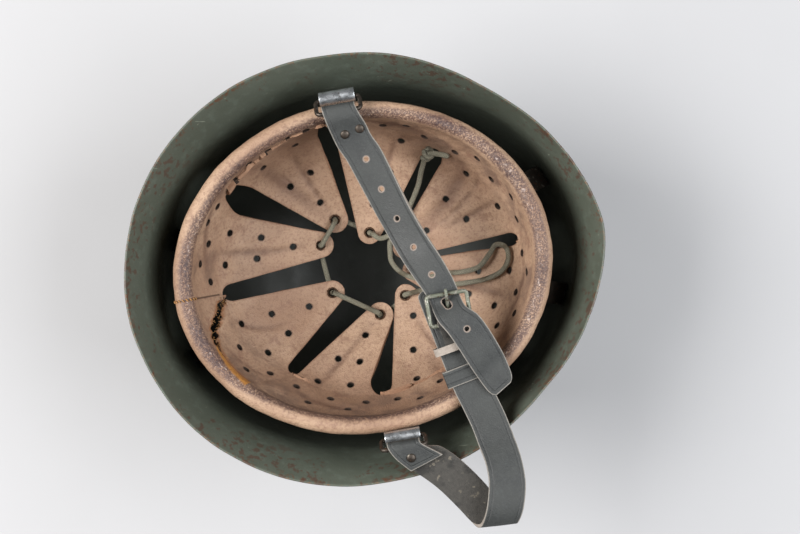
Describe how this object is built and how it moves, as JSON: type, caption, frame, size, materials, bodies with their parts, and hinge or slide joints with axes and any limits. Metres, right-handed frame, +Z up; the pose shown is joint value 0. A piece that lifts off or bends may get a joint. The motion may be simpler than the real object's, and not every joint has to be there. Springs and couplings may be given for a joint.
{
  "type": "steel helmet with leather liner",
  "caption": "Pressed steel helmet lying upside down on its crown, with a flared rim, a leather liner of pierced tongues laced at the crown, and a buckled leather chin strap.",
  "frame": {"origin": "the middle of the small flat on the crown, where the upside-down helmet rests", "axes": "+X towards the visor at the front, +Z up out of the hollow, -Y towards the side where the strap hangs out over the rim"},
  "size_m": [0.282, 0.2858, 0.1795],
  "materials": {
    "shell_paint": "worn matt grey-green paint with chips and rust at the rim",
    "liner_leather": "tan vegetable leather, worn brown and shiny on the rolled edge",
    "core_cord": "ochre twisted cord",
    "bare_steel": "bare plated steel",
    "dark_steel": "dark tarnished steel",
    "dark_bronze": "dark painted eyelets worn to bronze",
    "strap_leather": "smooth slate-coloured leather with light raw edges",
    "lace_cord": "grey-green woven cord",
    "buckle_paint": "worn grey-green paint over steel"
  },
  "bodies": {
    "root": {"bracket_far": "bare_steel", "bracket_far_rivet": "dark_steel", "bracket_near": "bare_steel", "bracket_near_rivet": "dark_steel", "buckle_chape": "strap_leather", "buckle_frame": "buckle_paint", "buckle_prong": "buckle_paint", "eyelet_a": "dark_bronze", "eyelet_b": "dark_bronze", "eyelet_c": "dark_bronze", "eyelet_d": "dark_bronze", "eyelet_e": "dark_bronze", "eyelet_f": "dark_bronze", "eyelet_g": "dark_bronze", "eyelet_h": "dark_bronze", "keeper_1": "strap_leather", "keeper_2": "strap_leather", "lace": "lace_cord", "leather_liner": "liner_leather", "liner_band": "dark_steel", "ring_far": "dark_steel", "ring_near": "dark_steel", "rivet_far_1": "dark_steel", "rivet_far_2": "dark_steel", "rivet_near_1": "dark_steel", "rivet_near_2": "dark_steel", "roll_core": "core_cord", "shell": "shell_paint", "spring_tab_1": "dark_steel", "spring_tab_2": "dark_steel", "spring_tab_3": "dark_steel", "spring_tab_4": "dark_steel", "strap_long": "strap_leather", "strap_short": "strap_leather", "vent_rivet_1": "bare_steel", "vent_rivet_2": "bare_steel", "vent_rivet_3": "bare_steel", "vent_rivet_4": "bare_steel"}
  },
  "joints": []
}
